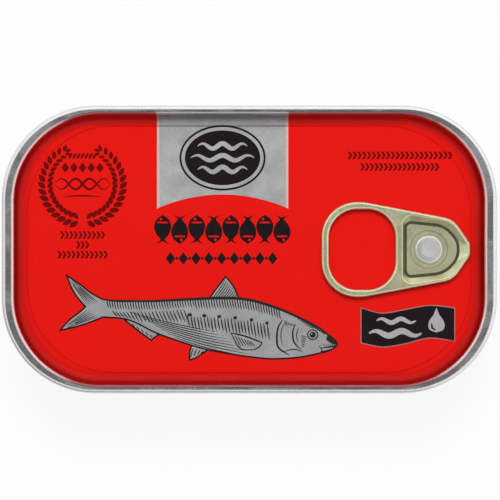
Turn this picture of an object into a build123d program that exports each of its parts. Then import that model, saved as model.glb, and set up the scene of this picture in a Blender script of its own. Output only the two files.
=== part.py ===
from build123d import *
import os
from math import atan2, cos, radians, sin, tan

# A shut, full sardine tin: a drawn metal body, an easy-open lid seamed onto it, and a ring-pull tab.
# Millimetres. The origin is the middle of the base, +X runs along the tin and +Z is up.
# The tin is shut, so the body is solid right up to the lid's underside.

# Overall sizes, over the seam
TIN_LENGTH = 105.0
TIN_WIDTH = 61.0
TIN_HEIGHT = 28.5
SEAM_CORNER = 20.0  # plan radius of the seam's outer edge

# The double seam: the rolled rim that joins lid and body
SEAM_HEIGHT = 3.0
SEAM_END_WIDTH = 2.65  # across the short ends
SEAM_SIDE_WIDTH = 1.9  # along the long sides
SEAM_OUTER_ROUND = 0.9
SEAM_INNER_ROUND = 0.65
SEAM_HEM_ROUND = 0.6

# The lid inside the seam
LID_SHEET = 0.24
PANEL_DEPTH = 4.0  # from the top of the seam down to the panel
LID_WALL_LEAN = 4.0  # degrees, narrowing downwards
LID_WALL_ROUND = 1.7  # where the wall turns into the panel
RECESS_CORNER = 18.4

# The score line that the lid tears along
SCORE_END_GAP = 0.5  # from the end of the wall's round to the line, at the short ends
SCORE_SIDE_GAP = 0.25
SCORE_CORNER = 18.5
SCORE_WIDTH = 0.36
SCORE_DEPTH = 0.1

# The drawn body
WALL_INSET = 1.35  # of the body's wall from the seam's outer edge
WALL_LEAN = 1.0  # degrees, narrowing downwards
BASE_ROUND = 2.6
STAND_RING = 3.6  # flat width of the ring that the tin stands on
BASE_RECESS = 0.8
BASE_STEP_LEAN = 40.0  # degrees off upright
BASE_EDGE_ROUND = 0.5
BEAD_INSET = 4.5  # of the base's bead from the edge of the recess
BEAD_WIDTH = 2.2
BEAD_HEIGHT = 0.4

# The rivet, drawn up out of the lid's own metal
BOSS_RADIUS = 4.0
BOSS_HEIGHT = 0.4
POST_RADIUS = 1.9
HEAD_RADIUS = 3.05
HEAD_HEIGHT = 0.62
HEAD_ROUND = 0.5
DIMPLE_RADIUS = 1.6
DIMPLE_DEPTH = 0.1

# The ring-pull tab, laid out from the rivet's axis
TAB_LENGTH = 31.7
TAB_THICKNESS = 1.7
TAB_LIFT = 0.25  # gap between the tab's rim and the panel
TAB_EDGE_ROUND = 0.5
RING_WIDTH = 20.3
RING_CORNER = 7.6
RING_RIM = 1.6  # width of the metal round the finger hole
CREST_RUN = 1.4  # from the ring's corner to where its sides start to draw in
CREST_ROUND = 10.0
NOSE_REACH = 8.8  # from the rivet's axis to the tip
SHOULDER_SETBACK = 3.6  # of the nose's shoulders from the tip
SHOULDER_WIDTH = 13.0
SHOULDER_ROUND = 5.0
TIP_WIDTH = 2.6
TIP_ROUND = 1.6
BRIDGE = 1.85  # between the finger hole and the sunk plate
PLATE_LENGTH = 11.9  # of the sunk plate that the rivet holds
PLATE_BACK_WIDTH = 12.5
PLATE_SHOULDER_WIDTH = 10.6
PLATE_SHOULDER_SETBACK = 2.9
PLATE_TIP_WIDTH = 3.5
PLATE_FROM_TIP = 2.2
PLATE_BACK_ROUND = 1.6
PLATE_SHOULDER_ROUND = 5.6
PLATE_TIP_ROUND = 4.4
PLATE_THICKNESS = 0.4
NOSE_RIM = 0.65  # of the tab's top left round the dish that slopes down to the plate
DISH_BACK_GAP = 0.35  # from the plate's square end to the dish's
DISH_BACK_WIDTH = 15.4
DISH_BACK_ROUND = 2.0
DISH_SHOULDER_ROUND = 4.4
DISH_TIP_ROUND = 1.2
DISH_ROUND = 0.25  # where the dish turns into the top of the rim
GROOVE_WIDTH = 0.65  # pressed round the plate's edge
GROOVE_DEPTH = 0.34
GROOVE_WALL = 0.3  # of metal between the groove and the hollow under the plate
COIN_RADIUS = 4.0  # of the ring pressed into the plate round the rivet
COIN_WIDTH = 0.4
COIN_DEPTH = 0.14

# Fits
NOSE_GAP = 0.3  # from the tab's tip to the score line
RIVET_GAP = 0.03  # above, below and round the plate, where the rivet holds it
CUT_PAST = 1.0  # how far a cutting shape runs past what it cuts

# Levels
PANEL_TOP = TIN_HEIGHT - PANEL_DEPTH
HEM_LEVEL = TIN_HEIGHT - SEAM_HEIGHT
PLATE_UNDERSIDE = PANEL_TOP + BOSS_HEIGHT + RIVET_GAP
PLATE_TOP = PLATE_UNDERSIDE + PLATE_THICKNESS
HEAD_UNDERSIDE = PLATE_TOP + RIVET_GAP
TAB_UNDERSIDE = PANEL_TOP + TAB_LIFT
TAB_TOP = TAB_UNDERSIDE + TAB_THICKNESS

# Plan sizes that follow from the ones above
RECESS_LENGTH = TIN_LENGTH - 2 * SEAM_END_WIDTH
RECESS_WIDTH = TIN_WIDTH - 2 * SEAM_SIDE_WIDTH
WALL_FOOT = PANEL_DEPTH * tan(radians(LID_WALL_LEAN)) + LID_WALL_ROUND
SCORE_LENGTH = RECESS_LENGTH - 2 * (WALL_FOOT + SCORE_END_GAP)
SCORE_ACROSS = RECESS_WIDTH - 2 * (WALL_FOOT + SCORE_SIDE_GAP)
BODY_LENGTH = TIN_LENGTH - 2 * WALL_INSET
BODY_WIDTH = TIN_WIDTH - 2 * WALL_INSET
BODY_CORNER = SEAM_CORNER - WALL_INSET
WALL_DRAW_IN = HEM_LEVEL * tan(radians(WALL_LEAN))
SUNK_INSET = WALL_DRAW_IN + BASE_ROUND + STAND_RING
RIVET_X = SCORE_LENGTH / 2 - NOSE_GAP - NOSE_REACH
PLATE_NOSE_X = NOSE_REACH - PLATE_FROM_TIP
PLATE_BACK_X = PLATE_NOSE_X - PLATE_LENGTH
HOLE_NOSE_X = PLATE_BACK_X - BRIDGE
RING_END_X = NOSE_REACH - TAB_LENGTH
HOLE_LENGTH = HOLE_NOSE_X - RING_END_X - RING_RIM
HOLE_WIDTH = RING_WIDTH - 2 * RING_RIM
HOLE_CORNER = min(RING_CORNER - RING_RIM, 0.48 * HOLE_LENGTH)
TAB_ROUND = min(TAB_EDGE_ROUND, 0.375 * RING_RIM, 0.4 * TAB_THICKNESS, 0.33 * BRIDGE)
MOUTH_ROUND = min(DISH_ROUND, 0.44 * BRIDGE)


def slab(length, width, corner, low, high, lean=0.0):
    """A rounded rectangle between two levels. Its top has the given outline and its sides lean in downwards."""
    outline = Plane.XY.offset(high) * RectangleRounded(length, width, corner)
    return extrude(outline, amount=low - high, taper=lean)


def raised(outline, low, high):
    """A flat outline drawn at level 0, raised from one level to another."""
    return extrude(Plane.XY.offset(low) * outline, amount=high - low)


def bottom_edges(solid):
    return solid.faces().sort_by(Axis.Z)[0].edges()


def top_face(solid):
    return solid.faces().sort_by(Axis.Z)[-1]


def recess(grown=0.0):
    """The hollow of the lid inside the seam, or that hollow grown outwards by a sheet's thickness."""
    hollow = slab(
        RECESS_LENGTH + 2 * grown,
        RECESS_WIDTH + 2 * grown,
        RECESS_CORNER + grown,
        PANEL_TOP - grown,
        TIN_HEIGHT,
        LID_WALL_LEAN,
    )
    return fillet(bottom_edges(hollow), LID_WALL_ROUND + grown)


def base_bead():
    """A low ring pressed into the recessed base, standing down from it."""
    outline = RectangleRounded(
        BODY_LENGTH - 2 * (SUNK_INSET + BEAD_INSET),
        BODY_WIDTH - 2 * (SUNK_INSET + BEAD_INSET),
        BODY_CORNER - SUNK_INSET,
    )
    ring = outline - offset(outline, -BEAD_WIDTH)
    bead = raised(ring, BASE_RECESS - BEAD_HEIGHT, BASE_RECESS)
    return fillet(bottom_edges(bead), 0.8 * BEAD_HEIGHT)


def can_body():
    """The drawn body: a leaning wall, a round foot, a ring to stand on and a recessed base."""
    solid = slab(BODY_LENGTH, BODY_WIDTH, BODY_CORNER, 0, HEM_LEVEL, WALL_LEAN)
    solid = fillet(bottom_edges(solid), BASE_ROUND)
    sunk = RectangleRounded(
        BODY_LENGTH - 2 * SUNK_INSET, BODY_WIDTH - 2 * SUNK_INSET, BODY_CORNER - SUNK_INSET
    )
    solid -= extrude(sunk, amount=BASE_RECESS, taper=BASE_STEP_LEAN)
    stand = solid.faces().sort_by(Axis.Z)[0]
    solid = fillet(stand.inner_wires()[0].edges(), BASE_EDGE_ROUND)
    solid += base_bead()
    return solid - recess(LID_SHEET)


def rivet():
    """Boss, post and head, standing on the panel."""
    upright = (Align.CENTER, Align.CENTER, Align.MIN)
    boss = Cylinder(BOSS_RADIUS, BOSS_HEIGHT, align=upright)
    boss = fillet(top_face(boss).edges(), 0.5 * BOSS_HEIGHT)
    post = Cylinder(POST_RADIUS, HEAD_UNDERSIDE - PANEL_TOP, align=upright)
    head = Cylinder(HEAD_RADIUS, HEAD_HEIGHT, align=upright)
    head = fillet(top_face(head).edges(), HEAD_ROUND)
    dimple = (DIMPLE_RADIUS**2 + DIMPLE_DEPTH**2) / (2 * DIMPLE_DEPTH)
    head -= Pos(0, 0, HEAD_HEIGHT - DIMPLE_DEPTH + dimple) * Sphere(dimple)
    return Pos(RIVET_X, 0, PANEL_TOP) * (boss + post + Pos(0, 0, HEAD_UNDERSIDE - PANEL_TOP) * head)


def score_groove():
    """What the score line takes out of the panel. It runs a rounded rectangle of its own."""
    middle = RectangleRounded(SCORE_LENGTH, SCORE_ACROSS, SCORE_CORNER)
    line = offset(middle, SCORE_WIDTH / 2) - offset(middle, -SCORE_WIDTH / 2)
    return raised(line, PANEL_TOP - SCORE_DEPTH, PANEL_TOP + CUT_PAST)


def lid():
    """The easy-open lid: the seam, the sunk panel with its score line, and the rivet."""
    seam = slab(TIN_LENGTH, TIN_WIDTH, SEAM_CORNER, HEM_LEVEL, TIN_HEIGHT)
    seam = fillet(bottom_edges(seam), SEAM_HEM_ROUND)
    solid = seam + recess(LID_SHEET) - recess()
    solid = fillet(top_face(solid).outer_wire().edges(), SEAM_OUTER_ROUND)
    solid = fillet(top_face(solid).inner_wires()[0].edges(), SEAM_INNER_ROUND)
    return solid - score_groove() + rivet()


def mirrored(side, rounds):
    """A face with the given corners on its +Y side and the same ones on the other, each rounded off."""
    other_side = [(x, -y) for x, y in reversed(side)]
    return make_face(FilletPolyline(*side, *other_side, radius=rounds + rounds[::-1], close=True))


def tab_outline():
    """The tab seen from above: a squarish ring whose sides draw in to a blunt nose."""
    side = [
        (RING_END_X, RING_WIDTH / 2),
        (RING_END_X + RING_CORNER + CREST_RUN, RING_WIDTH / 2),
        (NOSE_REACH - SHOULDER_SETBACK, SHOULDER_WIDTH / 2),
        (NOSE_REACH, TIP_WIDTH / 2),
    ]
    return mirrored(side, [RING_CORNER, CREST_ROUND, SHOULDER_ROUND, TIP_ROUND])


def plate_outline():
    """The sunk plate seen from above: square at the ring, round at the nose."""
    side = [
        (PLATE_BACK_X, PLATE_BACK_WIDTH / 2),
        (PLATE_NOSE_X - PLATE_SHOULDER_SETBACK, PLATE_SHOULDER_WIDTH / 2),
        (PLATE_NOSE_X, PLATE_TIP_WIDTH / 2),
    ]
    return mirrored(side, [PLATE_BACK_ROUND, PLATE_SHOULDER_ROUND, PLATE_TIP_ROUND])


def dish_outline():
    """The top edge of the slope round the plate. It keeps a narrow rim inside the tab's nose."""
    side_lean = atan2((RING_WIDTH - SHOULDER_WIDTH) / 2, TAB_LENGTH - RING_CORNER - CREST_RUN - SHOULDER_SETBACK)
    nose_lean = atan2((SHOULDER_WIDTH - TIP_WIDTH) / 2, SHOULDER_SETBACK)
    along = NOSE_RIM * tan((nose_lean - side_lean) / 2)
    shoulder = (
        NOSE_REACH - SHOULDER_SETBACK - NOSE_RIM * sin(side_lean) - along * cos(side_lean),
        SHOULDER_WIDTH / 2 - NOSE_RIM * cos(side_lean) + along * sin(side_lean),
    )
    tip_x = NOSE_REACH - NOSE_RIM
    tip = (tip_x, shoulder[1] - (tip_x - shoulder[0]) * tan(nose_lean))
    side = [(PLATE_BACK_X - DISH_BACK_GAP, DISH_BACK_WIDTH / 2), shoulder, tip]
    return mirrored(side, [DISH_BACK_ROUND, DISH_SHOULDER_ROUND, DISH_TIP_ROUND])


def pull_tab():
    """The ring-pull: a rolled rim round the finger hole and round the plate that the rivet holds."""
    hole = Pos(HOLE_NOSE_X - HOLE_LENGTH / 2, 0) * RectangleRounded(HOLE_LENGTH, HOLE_WIDTH, HOLE_CORNER)
    plate = plate_outline()
    solid = raised(tab_outline() - hole, TAB_UNDERSIDE, TAB_TOP)
    solid = fillet(top_face(solid).outer_wire().edges(), TAB_ROUND)
    solid = fillet(top_face(solid).inner_wires()[0].edges(), TAB_ROUND)
    solid = fillet(bottom_edges(solid), TAB_ROUND)
    solid -= loft([Plane.XY.offset(PLATE_TOP) * plate, Plane.XY.offset(TAB_TOP) * dish_outline()], ruled=True)
    solid = fillet(top_face(solid).inner_wires().sort_by(Axis.X)[-1].edges(), MOUTH_ROUND)
    inside_groove = offset(plate, -GROOVE_WIDTH)
    solid -= raised(offset(inside_groove, -GROOVE_WALL), TAB_UNDERSIDE - CUT_PAST, PLATE_UNDERSIDE)
    solid -= raised(plate - inside_groove, PLATE_TOP - GROOVE_DEPTH, TAB_TOP)
    coin = Circle(COIN_RADIUS + COIN_WIDTH / 2) - Circle(COIN_RADIUS - COIN_WIDTH / 2)
    solid -= raised(coin, PLATE_TOP - COIN_DEPTH, PLATE_TOP + CUT_PAST)
    solid -= raised(Circle(POST_RADIUS + RIVET_GAP), TAB_UNDERSIDE, TAB_TOP)
    return Pos(RIVET_X, 0, 0) * solid


os.makedirs("parts", exist_ok=True)
for node, piece in {"can_body": can_body(), "lid": lid(), "pull_tab": pull_tab()}.items():
    export_step(piece, f"parts/{node}.step")
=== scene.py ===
"""A sardine tin: bare tinplate, a red lacquered lid with its print, and a gold lacquered ring-pull."""

import math
import random

import bmesh
import bpy
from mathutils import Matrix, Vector
from mathutils.geometry import delaunay_2d_cdt


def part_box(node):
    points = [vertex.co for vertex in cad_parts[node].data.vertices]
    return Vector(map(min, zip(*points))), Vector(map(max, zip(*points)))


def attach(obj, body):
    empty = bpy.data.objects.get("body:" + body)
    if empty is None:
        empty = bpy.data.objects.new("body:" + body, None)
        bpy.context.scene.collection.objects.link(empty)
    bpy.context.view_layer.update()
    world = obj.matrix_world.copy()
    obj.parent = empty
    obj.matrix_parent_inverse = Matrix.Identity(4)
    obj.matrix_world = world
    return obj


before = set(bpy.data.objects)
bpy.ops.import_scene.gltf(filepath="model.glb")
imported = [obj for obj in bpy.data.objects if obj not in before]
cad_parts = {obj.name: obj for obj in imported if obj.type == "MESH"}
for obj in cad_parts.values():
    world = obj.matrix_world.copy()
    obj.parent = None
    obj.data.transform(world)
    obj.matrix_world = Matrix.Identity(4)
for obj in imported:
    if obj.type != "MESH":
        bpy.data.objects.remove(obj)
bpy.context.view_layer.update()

MM = 0.001
BODY, LID, TAB = (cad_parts[name] for name in ("can_body", "lid", "pull_tab"))

# ------------------------------------------------------------------ sizes of the lid, in millimetres

SEAM_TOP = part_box("lid")[1].z / MM
SEAM_SIDE_WIDTH = 1.9
SEAM_END_WIDTH = 2.65
SEAM_ROUND = 0.61  # from the seam's top down to where the wall turns into it
PANEL_DEPTH = 4.0
TAB_NOSE = 8.8  # from the rivet's axis to the tab's nose
RECESS_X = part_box("lid")[1].x / MM - SEAM_END_WIDTH  # half sizes of the recess at the top
RECESS_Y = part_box("lid")[1].y / MM - SEAM_SIDE_WIDTH
RECESS_CORNER = 18.4
PANEL = SEAM_TOP - PANEL_DEPTH  # level of the flat panel
WALL_LEAN = math.radians(4.0)
WALL_ROUND = 1.7  # where the wall turns into the panel
WALL_TOP = SEAM_TOP - SEAM_ROUND
SCORE_X, SCORE_Y = 47.37, 26.37  # half sizes of the score line
SCORE_CORNER = 18.5
SCORE_HALF_WIDTH = 0.18
SCORE_DEPTH = 0.1
RIVET_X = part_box("pull_tab")[1].x / MM - TAB_NOSE
RIVET_REACH = 4.1  # of the rivet and its boss, from the rivet's axis
PLATE_TOP = PANEL + 0.83  # level of the tab's sunk plate
BAND_LEFT, BAND_RIGHT = -19.7, 8.35  # of the silver band printed over the lid's edge
BAND_MIDDLE = (BAND_LEFT + BAND_RIGHT) / 2
BAND_HALF_WIDTH = (BAND_RIGHT - BAND_LEFT) / 2
INK = 0.012  # thickness of one layer of print, and of the gap under it


# ------------------------------------------------------------------ lines and outlines, in millimetres


def smooth(points, steps=6):
    """A curve through the points, which is straight only where they are in line."""
    ends = [
        (2 * points[0][0] - points[1][0], 2 * points[0][1] - points[1][1]),
        (2 * points[-1][0] - points[-2][0], 2 * points[-1][1] - points[-2][1]),
    ]
    all_points = [ends[0], *points, ends[1]]
    line = []
    for a, b, c, d in zip(all_points, all_points[1:], all_points[2:], all_points[3:]):
        for i in range(steps):
            t = i / steps
            line.append(
                tuple(
                    0.5
                    * (
                        2 * b[k]
                        + (c[k] - a[k]) * t
                        + (2 * a[k] - 5 * b[k] + 4 * c[k] - d[k]) * t * t
                        + (3 * b[k] - a[k] - 3 * c[k] + d[k]) * t**3
                    )
                    for k in (0, 1)
                )
            )
    return [*line, tuple(points[-1])]


def oval(x, y, half_width, half_height, count=72):
    turns = [2 * math.pi * i / count for i in range(count)]
    return [(x + half_width * math.cos(t), y + half_height * math.sin(t)) for t in turns]


def placed(outline, x, y, turn=0.0, size=1.0):
    """An outline turned about its own origin and put at x, y."""
    c, s = math.cos(turn) * size, math.sin(turn) * size
    return [(x + c * px - s * py, y + s * px + c * py) for px, py in outline]


def stroke(line, width, start=0.15, end=0.15, belly=2.2):
    """The outline of a pen stroke along a line. Its ends are start and end times as wide as its middle."""
    lengths = [0.0]
    for a, b in zip(line, line[1:]):
        lengths.append(lengths[-1] + math.dist(a, b))
    left, right = [], []
    for i, (x, y) in enumerate(line):
        before, after = line[max(i - 1, 0)], line[min(i + 1, len(line) - 1)]
        dx, dy = after[0] - before[0], after[1] - before[1]
        run = math.hypot(dx, dy) or 1.0
        t = lengths[i] / (lengths[-1] or 1.0)
        full = 1 - abs(2 * t - 1) ** belly
        thin = start if t < 0.5 else end
        half = 0.5 * width * (thin + (1 - thin) * full)
        left.append((x - half * dy / run, y + half * dx / run))
        right.append((x + half * dy / run, y - half * dx / run))
    return left + right[::-1]


def lozenge(width, height):
    return [(-width / 2, 0), (0, -height / 2), (width / 2, 0), (0, height / 2)]


def leaf(length, width):
    """A leaf that lies along +X, with its stalk at the origin."""
    upper = smooth([(0, 0), (0.28 * length, 0.44 * width), (0.68 * length, 0.44 * width), (length, 0)], 4)
    return upper + [(x, -y) for x, y in upper[-2:0:-1]]


# ------------------------------------------------------------------ meshes


def object_from(bm, name, material):
    bmesh.ops.recalc_face_normals(bm, faces=bm.faces)
    mesh = bpy.data.meshes.new(name)
    bm.to_mesh(mesh)
    bm.free()
    mesh.materials.append(material)
    piece = bpy.data.objects.new(name, mesh)
    bpy.context.scene.collection.objects.link(piece)
    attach(piece, "root")
    return piece


def add_sheet(bm, shapes, low, high):
    """Flat sheets closed all round, between two levels. Shapes that overlap become one sheet."""
    points, rings, holed = [], [], []
    for shape in shapes:
        outline, holes = shape if isinstance(shape, tuple) else (shape, ())
        numbers = []
        for ring in (outline, *holes):
            turn = sum(a[0] * b[1] - b[0] * a[1] for a, b in zip(ring, [*ring[1:], ring[0]]))
            ring = ring if turn > 0 else ring[::-1]
            numbers.append(len(rings))
            rings.append(list(range(len(points), len(points) + len(ring))))
            points += [Vector(p) for p in ring]
        holed.append((numbers[0], set(numbers[1:])))
    flat, _, faces, _, _, inside = delaunay_2d_cdt(points, [], rings, 1, 1e-4)
    inked = []
    for face, numbers in zip(faces, inside):
        numbers = set(numbers)
        if any(outline in numbers and not holes & numbers for outline, holes in holed):
            inked.append(face)
    used = sorted({i for face in inked for i in face})
    under = {i: bm.verts.new((flat[i].x * MM, flat[i].y * MM, low * MM)) for i in used}
    over = {i: bm.verts.new((flat[i].x * MM, flat[i].y * MM, high * MM)) for i in used}
    sides = set()
    for face in inked:
        bm.faces.new([over[i] for i in face])
        bm.faces.new([under[i] for i in reversed(face)])
        for a, b in zip(face, [*face[1:], face[0]]):
            if (b, a) in sides:
                sides.remove((b, a))
            else:
                sides.add((a, b))
    for a, b in sorted(sides):
        bm.faces.new([under[a], under[b], over[b], over[a]])


def printed(name, shapes, layer, material):
    """One colour of print on the panel. Each shape is an outline, or an outline with its holes."""
    bm = bmesh.new()
    low = PANEL + (2 * layer - 1) * INK
    add_sheet(bm, shapes, low, low + INK)
    return object_from(bm, name, material)


# ------------------------------------------------------------------ node groups


class Nodes:
    """Adds nodes to a tree and links them. A value is a number, a colour or another node's output."""

    def __init__(self, tree):
        self.tree = tree

    def add(self, kind, settings=None, **inputs):
        node = self.tree.nodes.new("ShaderNode" + kind)
        for key, value in (settings or {}).items():
            setattr(node, key, value)
        for key, value in inputs.items():
            self.feed(node.inputs[key.replace("_", " ")], value)
        return node

    def feed(self, socket, value):
        if isinstance(value, bpy.types.NodeSocket):
            self.tree.links.new(value, socket)
        else:
            socket.default_value = value

    def math(self, operation, a, b=0.0):
        node = self.add("Math", {"operation": operation})
        for socket, value in zip(node.inputs, (a, b)):
            self.feed(socket, value)
        return node.outputs[0]

    def range(self, value, low, high, to_low=0.0, to_high=1.0):
        node = self.add("MapRange", {"interpolation_type": "SMOOTHSTEP"})
        for socket, number in zip(node.inputs, (value, low, high, to_low, to_high)):
            self.feed(socket, number)
        return node.outputs[0]

    def mix(self, amount, a, b):
        node = self.add("Mix", {"data_type": "RGBA"})
        self.feed(node.inputs[0], amount)
        self.feed(node.inputs[6], a)
        self.feed(node.inputs[7], b)
        return node.outputs[2]

    def scaled(self, colour, amount):
        node = self.add("VectorMath", {"operation": "SCALE"})
        self.feed(node.inputs[0], colour)
        self.feed(node.inputs["Scale"], amount)
        return node.outputs[0]

    def place(self):
        """Where a point is on the object, in millimetres."""
        where = self.add("TexCoord").outputs["Object"]
        return self.add("Mapping", Vector=where, Scale=(1000, 1000, 1000)).outputs[0]

    def axes(self, vector):
        """The x, y and z of a vector."""
        node = self.add("SeparateXYZ")
        self.feed(node.inputs[0], vector)
        return node.outputs

    def noise(self, place, scale, detail=3.0, roughness=0.5, distortion=0.0):
        node = self.add(
            "TexNoise", Vector=place, Scale=scale, Detail=detail, Roughness=roughness, Distortion=distortion
        )
        return node.outputs["Fac"]

    def group(self, tree, **inputs):
        node = self.tree.nodes.new("ShaderNodeGroup")
        node.node_tree = tree
        for key, value in inputs.items():
            self.feed(node.inputs[key.replace("_", " ")], value)
        return node.outputs


def new_group(name, inputs, outputs):
    """A node group. inputs is {name: (type, value)} and outputs is {name: type}."""
    tree = bpy.data.node_groups.new(name, "ShaderNodeTree")
    for key, (kind, value) in inputs.items():
        socket = tree.interface.new_socket(key, in_out="INPUT", socket_type="NodeSocket" + kind)
        socket.default_value = value
    for key, kind in outputs.items():
        tree.interface.new_socket(key, in_out="OUTPUT", socket_type="NodeSocket" + kind)
    given = tree.nodes.new("NodeGroupInput").outputs
    out = tree.nodes.new("NodeGroupOutput").inputs
    return tree, Nodes(tree), given, out


def make_cloudy():
    """Broad and fine unevenness of a colour, as rolled sheet, lacquer and ink all have."""
    tree, n, given, out = new_group(
        "cloudy",
        {
            "Colour": ("Color", (0.5, 0.5, 0.5, 1)),
            "Other colour": ("Color", (0.4, 0.4, 0.4, 1)),
            "Patch size": ("Float", 8.0),
            "Speckle size": ("Float", 0.6),
            "Amount": ("Float", 0.5),
        },
        {"Colour": "Color", "Clouds": "Float"},
    )
    here = n.place()
    broad = n.noise(here, n.math("DIVIDE", 1.0, given["Patch size"]), 2.0)
    fine = n.noise(here, n.math("DIVIDE", 1.0, given["Speckle size"]), 2.0, 0.7)
    clouds = n.math("ADD", n.math("MULTIPLY", broad, 0.5), n.math("MULTIPLY", fine, 0.5))
    spread = n.range(clouds, 0.32, 0.68)
    amount = n.math("MULTIPLY", spread, given["Amount"])
    n.feed(out["Colour"], n.mix(amount, given["Colour"], given["Other colour"]))
    n.feed(out["Clouds"], spread)
    return tree


def make_wear_and_glint_edges():
    """Paler edges, part wear from handling and part painted highlight: 1 on such an edge, 0 elsewhere."""
    tree, n, given, out = new_group(
        "wear_and_glint_edges",
        {"Width": ("Float", 0.0004), "Amount": ("Float", 1.0)},
        {"Mask": "Float"},
    )
    bevel = n.add("Bevel", {"samples": 4}, Radius=given["Width"]).outputs[0]
    normal = n.add("NewGeometry").outputs["Normal"]
    dot = n.add("VectorMath", {"operation": "DOT_PRODUCT"})
    n.feed(dot.inputs[0], bevel)
    n.feed(dot.inputs[1], normal)
    edge = n.range(dot.outputs["Value"], 0.995, 0.9)
    patchy = n.range(n.noise(n.place(), 0.7, 4.0, 0.65), 0.38, 0.62, 0.25, 1.0)
    n.feed(out["Mask"], n.math("MULTIPLY", n.math("MULTIPLY", edge, patchy), given["Amount"]))
    return tree


def make_grain():
    """Fine streaks that the rolls and the drawing die leave. Lengthen stretches them along each axis."""
    tree, n, given, out = new_group(
        "grain",
        {"Lengthen": ("Vector", (1, 1, 1)), "Streak size": ("Float", 0.12)},
        {"Streaks": "Float"},
    )
    here = n.add("TexCoord").outputs["Object"]
    squeezed = n.add("VectorMath", {"operation": "DIVIDE"})
    n.feed(squeezed.inputs[0], here)
    n.feed(squeezed.inputs[1], given["Lengthen"])
    scale = n.math("DIVIDE", 1000.0, given["Streak size"])
    n.feed(out["Streaks"], n.noise(squeezed.outputs[0], scale, 3.0, 0.6))
    return tree


def make_scuffs():
    """Faint curved scuffs and finger smudges, which change the gloss."""
    tree, n, given, out = new_group(
        "scuffs",
        {"Spacing": ("Float", 6.0), "Sharpness": ("Float", 0.5)},
        {"Scuffs": "Float", "Smudges": "Float"},
    )
    here = n.place()
    size = n.math("DIVIDE", 1.0, given["Spacing"])
    bent = n.noise(here, size, 1.0, 0.5, 1.5)
    line = n.math("ABSOLUTE", n.math("SUBTRACT", bent, 0.5))
    thin = n.range(line, 0.0, n.math("MULTIPLY", 0.012, given["Sharpness"]), 1.0, 0.0)
    broken = n.range(n.noise(here, n.math("MULTIPLY", size, 3.0), 2.0), 0.5, 0.6)
    n.feed(out["Scuffs"], n.math("MULTIPLY", thin, broken))
    smudges = n.noise(here, n.math("MULTIPLY", size, 0.8), 3.0, 0.6, 0.6)
    n.feed(out["Smudges"], n.range(smudges, 0.4, 0.65))
    return tree


def make_inside_outline():
    """How far a point is inside a rounded rectangle about the middle, in millimetres."""
    tree, n, given, out = new_group(
        "inside_outline",
        {
            "Half length": ("Float", RECESS_X),
            "Half width": ("Float", RECESS_Y),
            "Corner": ("Float", RECESS_CORNER),
        },
        {"Distance": "Float"},
    )
    here = n.axes(n.place())
    sides = []
    for axis, half in ((0, "Half length"), (1, "Half width")):
        straight = n.math("SUBTRACT", given[half], given["Corner"])
        sides.append(n.math("SUBTRACT", n.math("ABSOLUTE", here[axis]), straight))
    squares = [n.math("POWER", n.math("MAXIMUM", side, 0.0), 2.0) for side in sides]
    outside = n.math("SQRT", n.math("ADD", *squares))
    within = n.math("MINIMUM", n.math("MAXIMUM", *sides), 0.0)
    n.feed(out["Distance"], n.math("SUBTRACT", given["Corner"], n.math("ADD", outside, within)))
    return tree


def make_pressed():
    """How deep a face that looks up lies below a level, in millimetres."""
    tree, n, given, out = new_group("pressed", {"Level": ("Float", PLATE_TOP)}, {"Depth": "Float"})
    here = n.axes(n.place())
    facing = n.axes(n.add("NewGeometry").outputs["Normal"])
    below = n.math("MAXIMUM", n.math("SUBTRACT", given["Level"], here["Z"]), 0.0)
    n.feed(out["Depth"], n.math("MULTIPLY", below, n.range(facing["Z"], 0.1, 0.5)))
    return tree


CLOUDY = make_cloudy()
WEAR_AND_GLINT = make_wear_and_glint_edges()
GRAIN = make_grain()
SCUFFS = make_scuffs()
INSIDE_OUTLINE = make_inside_outline()
GROOVE_SHADE_DEPTH = make_pressed()


# ------------------------------------------------------------------ materials


def new_material(name):
    material = bpy.data.materials.new(name)
    material.use_nodes = True
    material.node_tree.nodes.clear()
    n = Nodes(material.node_tree)
    shader = n.add("BsdfPrincipled")
    n.feed(n.add("OutputMaterial").inputs["Surface"], shader.outputs[0])
    return material, n, shader


def set_bump(n, shader, height, distance):
    """distance is in millimetres."""
    bump = n.add("Bump", Strength=1.0, Distance=distance * MM, Height=height)
    n.feed(shader.inputs["Normal"], bump.outputs[0])


def tinplate(name, colour, darker, lengthen, roughness, worn_glint=0.4, patch_size=5.0, streak_size=0.16):
    """Bare tinplate with its grain along the longer side of lengthen."""
    material, n, shader = new_material(name)
    clouds = n.group(
        CLOUDY, Colour=colour, Other_colour=darker, Patch_size=patch_size, Speckle_size=0.5, Amount=0.8
    )
    streaks = n.group(GRAIN, Lengthen=lengthen, Streak_size=streak_size)["Streaks"]
    scuffs = n.group(SCUFFS, Spacing=1.4 * patch_size, Sharpness=0.6)
    wear_glint_mask = n.group(WEAR_AND_GLINT, Width=0.0003, Amount=worn_glint)["Mask"]
    tinted = n.mix(n.range(streaks, 0.3, 0.7, 0.0, 0.35), clouds["Colour"], darker)
    # Paler edges, part wear and part painted highlight.
    bright = tuple(min(1.0, c * 1.25) for c in colour[:3]) + (1,)
    n.feed(shader.inputs["Base Color"], n.mix(wear_glint_mask, tinted, bright))
    rough = n.math("ADD", roughness, n.math("MULTIPLY", n.math("SUBTRACT", streaks, 0.5), 0.12))
    rough = n.math("ADD", rough, n.math("MULTIPLY", scuffs["Smudges"], 0.08))
    rough = n.math("SUBTRACT", rough, n.math("MULTIPLY", wear_glint_mask, 0.08))
    n.feed(shader.inputs["Roughness"], rough)
    shader.inputs["Metallic"].default_value = 1.0
    height = n.math("SUBTRACT", streaks, n.math("MULTIPLY", scuffs["Scuffs"], 0.6))
    set_bump(n, shader, height, 0.006)
    return material


FADE_FROM, FADE_TO = -0.6, 3.1  # how far inside the recess's outline the painted shade is full, and gone
BACK_SHADE = 0.8  # brightness of the painted shade at the back wall, where the seam's real shadow falls anyway


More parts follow.
